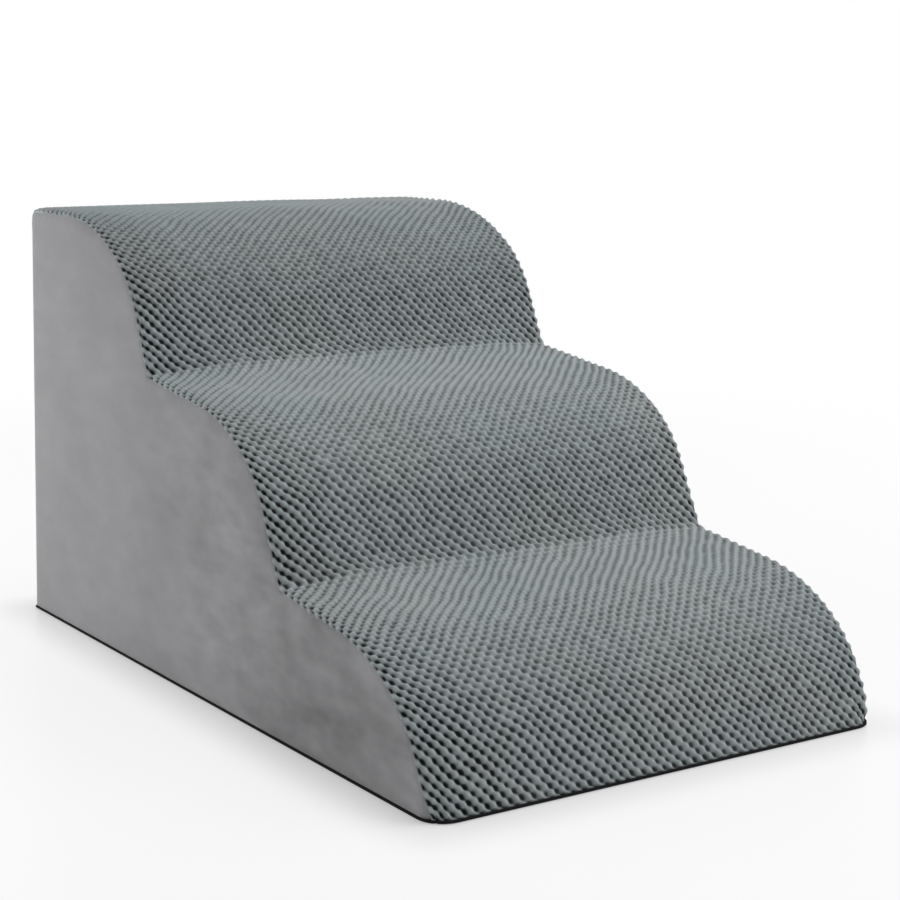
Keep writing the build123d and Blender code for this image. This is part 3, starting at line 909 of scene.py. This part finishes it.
# Zip parts: acetal teeth and stops moulded on the tapes, and a die-cast slider and pull in grey enamel,
# which is worn to the bare metal in small spots. They keep the shapes that they come with.
tooth_colour = (0.050, 0.051, 0.055)
enamel_colour = (0.115, 0.117, 0.122)
bare_colour = (0.42, 0.41, 0.40)
wear_per_metre = 700
wear_detail = 4.0
wear_edge = (0.66, 0.72)
scuffs_per_metre = 1400
scuff_roughness = (0.30, 0.15)

acetal = Finish("acetal", base_color=tooth_colour, roughness=0.38)
enamel = Finish("grey_enamel", coat_weight=0.3, coat_roughness=0.2)
worn = enamel.between(enamel.noise(wear_per_metre, wear_detail), *wear_edge)
enamel.feed(
    base_color=enamel.mix(worn, enamel_colour, bare_colour),
    metallic=worn,
    roughness=scuff_roughness[0] + scuff_roughness[1] * enamel.noise(scuffs_per_metre),
)
zip_finishes = {
    "zip_teeth_upper": acetal,
    "zip_teeth_lower": acetal,
    "zip_top_stops": acetal,
    "zip_bottom_stop": acetal,
    "zip_slider": enamel,
    "zip_pull": enamel,
}
for node, finish in zip_finishes.items():
    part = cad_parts[node]
    part.data.materials.clear()
    part.data.materials.append(finish.material)

# Topstitching: a row of stitches through the back cloth and the tape, 3 mm from the fold, all round the
# opening. Each stitch is a short raised thread, thinner at both ends where it goes into the cloth.
stitch_pitch = 0.003
stitch_length = 0.0024
stitch_radius = 0.00028
stitch_profile = ((0.3, -0.5), (0.85, -0.3), (1.0, 0.0), (0.85, 0.3), (0.3, 0.5))
stitch_sides = 6
thread_colour = (0.20, 0.20, 0.21)

thread = Finish("sewing_thread", base_color=thread_colour, roughness=0.7)
stitch_x = np.arange(-opening_half_length, opening_half_length, stitch_pitch) + stitch_pitch / 2
stitch_y = np.full(len(stitch_x), back_face_y - groove_depth)
stitch_z = opening_half_width + opening_fold
places = np.concatenate([
    np.stack([stitch_x, stitch_y, np.full(len(stitch_x), zip_z + side * stitch_z)], -1) for side in (1, -1)
])
stitch_radii, stitch_along = (np.array(stitch_profile) * (stitch_radius, stitch_length)).T
along_x = np.array([(0, 1, 0), (0, 0, 1), (1, 0, 0)])
stitches = stamped("zip_topstitching", stitch_radii, stitch_along, stitch_sides, places, along_x)
dress(stitches, thread, "stairs", "velvet")

# Studio: a white floor and backdrop, soft lamps and a camera at the photograph's place. The floor is partly
# lit by its own glow, as the white sweep of a studio is, and the lamps themselves stay out of the picture.
floor_size = 60.0
floor_colour = (0.93, 0.93, 0.93)
# The glow next to the stairs, where it is weakest and paints a shadow, and what is added to it over each
# reach from the base's outline
floor_glow = (0.35, 0.45, 0.20)
glow_reach = ((-0.008, 0.055), (0.3, 1.5))
world_light = 0.27
lamp_middle = np.array([0.0, 0.0, 0.15])
# Azimuth in degrees, 0 behind the stairs and 90 at their right side, then elevation, distance, size, watts
lamps = {"key": (112, 45, 2.4, 2.8, 54.0), "rear_left": (308, 1, 1.1, 1.4, 12.8)}
camera_place = (-0.892, -1.422, 0.471)
camera_yaw = 33.22
camera_dip = 3.5
camera_lens = 80.52
camera_shift = -0.25

floor_finish = Finish("white_floor", base_color=floor_colour, roughness=0.30)
seen = floor_finish.node("ShaderNodeLightPath", output="Is Camera Ray")
glow = floor_finish.node("ShaderNodeEmission", None, {"Color": (1, 1, 1), "Strength": 1.0})
lit = Socket(floor_finish, floor_finish.shader.outputs[0])
here = floor_finish.node("ShaderNodeTexCoord", output="Object")
# How far a place on the floor lies from the base's outline in plan. The glow is weakest close to it, which
# paints a shadow there on top of the real one, and only the camera sees it
plan = tuple(max(-low, high) for low, high in zip(base_low, base_high))
beyond = floor_finish.node("ShaderNodeVectorMath", {"operation": "ABSOLUTE"}, {0: here})
beyond = floor_finish.node("ShaderNodeVectorMath", {"operation": "SUBTRACT"}, {0: beyond, 1: plan})
beyond = floor_finish.node("ShaderNodeVectorMath", {"operation": "MAXIMUM"}, {0: beyond, 1: (0, 0, 0)})
far = floor_finish.node("ShaderNodeVectorMath", {"operation": "LENGTH"}, {0: beyond}, output="Value")
out_of_painted_shadow, far_glow = (floor_finish.between(far, *reach) for reach in glow_reach)
glows = (floor_glow[0] + floor_glow[1] * out_of_painted_shadow + floor_glow[2] * far_glow) * seen
mixed = floor_finish.node("ShaderNodeMixShader", None, {0: glows, 1: lit, 2: glow})
floor_finish.fill(floor_finish.tree.nodes["Material Output"].inputs["Surface"], mixed)
corner = floor_size / 2
floor_points = corner * np.array([(-1, -1, 0), (1, -1, 0), (1, 1, 0), (-1, 1, 0)])
floor = new_piece("studio_floor", floor_points, np.array([[0, 1, 2, 3]]))
floor.data.materials.append(floor_finish.material)

world = bpy.data.worlds.new("studio")
world.use_nodes = True
bpy.context.scene.world = world
sky = Graph(world.node_tree)
# The surroundings are full white to the camera and in reflections, and they light the stairs less strongly
rays = [sky.node("ShaderNodeLightPath", output=name) for name in ("Is Camera Ray", "Is Glossy Ray")]
bright = rays[0].maths("MAXIMUM", rays[0], rays[1])
sky.fill(world.node_tree.nodes["Background"].inputs["Color"], (1, 1, 1))
sky.fill(world.node_tree.nodes["Background"].inputs["Strength"], world_light + (1 - world_light) * bright)

for name, (azimuth, elevation, distance, size, watts) in lamps.items():
    across, up = math.radians(azimuth), math.radians(elevation)
    away = np.array([math.sin(across) * math.cos(up), math.cos(across) * math.cos(up), math.sin(up)])
    lamp = bpy.data.lights.new(name, "AREA")
    lamp.size, lamp.energy = size, watts
    box = bpy.data.objects.new(name, lamp)
    bpy.context.scene.collection.objects.link(box)
    box.location = lamp_middle + distance * away
    box.rotation_euler = (math.pi / 2 - up, 0, math.pi - across)
    box.visible_camera = False

camera = bpy.data.objects.new("camera", bpy.data.cameras.new("camera"))
bpy.context.scene.collection.objects.link(camera)
camera.location = camera_place
camera.rotation_euler = (math.radians(90 - camera_dip), 0, math.radians(-camera_yaw))
camera.data.lens = camera_lens
camera.data.shift_y = camera_shift
bpy.context.scene.camera = camera
bpy.context.scene.view_settings.view_transform = "Standard"
